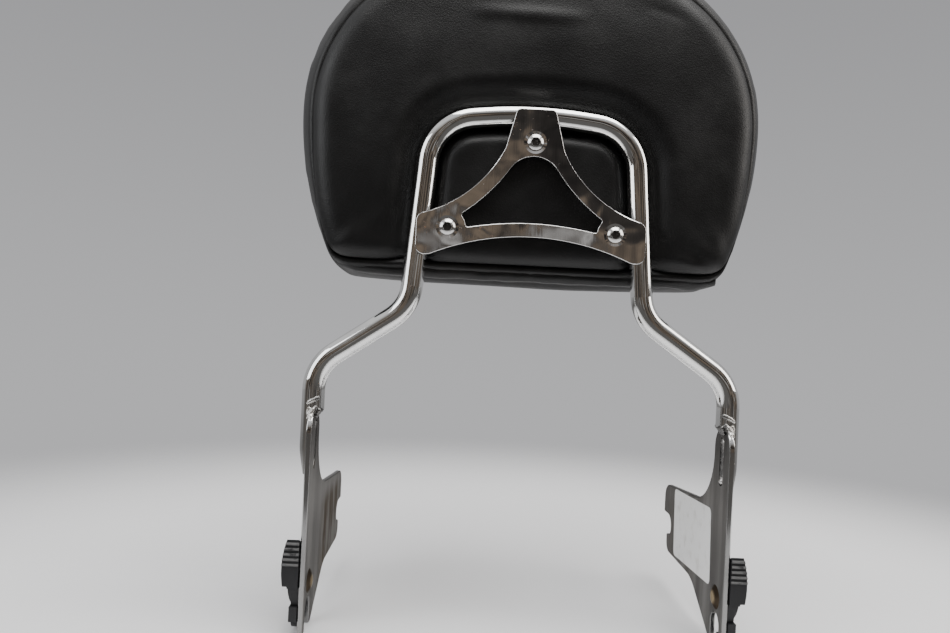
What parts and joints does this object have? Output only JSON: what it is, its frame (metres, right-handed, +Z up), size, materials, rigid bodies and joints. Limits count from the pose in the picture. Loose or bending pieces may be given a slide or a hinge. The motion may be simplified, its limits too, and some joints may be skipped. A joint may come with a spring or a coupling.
{
  "type": "sissy bar",
  "caption": "Detachable motorcycle sissy bar: bent chrome hoop on docking side plates with turning latches, and a padded black passenger backrest bolted on by a three-armed bracket.",
  "frame": {"origin": "midway between the two side plates, on the common axis of the rear docking posts", "axes": "+Z up along the legs of the bar, +Y towards the front of the motorcycle, +X to its right along the docking posts"},
  "size_m": [0.2746, 0.1274, 0.4069],
  "materials": {
    "chrome_bar": "bright plated bar, polished",
    "chrome_plate": "plated sheet, polished edges and duller inner faces with light rust stains",
    "weld_metal": "plated weld bead",
    "chrome_bracket": "bright plated sheet bracket",
    "screw_steel": "plated button-head screws",
    "zinc_nut": "zinc-plated tee nuts",
    "black_vinyl": "black soft vinyl with fine grain",
    "black_vinyl_back": "black vinyl back panel",
    "foam": "moulded upholstery foam",
    "board": "plywood board inside the pad",
    "latch_black": "black moulded latch, satin",
    "gold_zinc": "yellow zinc-plated rivet and washer",
    "spring_steel": "spring wire"
  },
  "bodies": {
    "backrest": {"upright_hoop": "chrome_bar", "pad_bracket": "chrome_bracket", "pad_cover": "black_vinyl", "pad_back_panel": "black_vinyl_back", "pad_foam": "foam", "pad_board": "board", "bracket_screw_top": "screw_steel", "tee_nut_top": "zinc_nut", "bracket_screw_left": "screw_steel", "tee_nut_left": "zinc_nut", "bracket_screw_right": "screw_steel", "tee_nut_right": "zinc_nut", "side_plate_left": "chrome_plate", "plate_weld_left": "weld_metal", "latch_washer_left": "gold_zinc", "latch_pivot_left": "gold_zinc", "side_plate_right": "chrome_plate", "plate_weld_right": "weld_metal", "latch_washer_right": "gold_zinc", "latch_pivot_right": "gold_zinc"},
    "latch_left_body": {"latch_left": "latch_black", "latch_spring_left": "spring_steel"},
    "latch_right_body": {"latch_right": "latch_black", "latch_spring_right": "spring_steel"}
  },
  "joints": [
    {"name": "left_latch_turn", "type": "hinge", "parent": "backrest", "child": "latch_left_body", "pos_m": [-0.1224, 0, 0.0155], "axis": [-1, 0, 0], "range_deg": [0, 45], "stiffness_Nm_per_rad": 0.08, "springref_deg": -28.65},
    {"name": "right_latch_turn", "type": "hinge", "parent": "backrest", "child": "latch_right_body", "pos_m": [0.1224, 0, 0.0155], "axis": [-1, 0, 0], "range_deg": [0, 45], "stiffness_Nm_per_rad": 0.08, "springref_deg": -28.65}
  ]
}
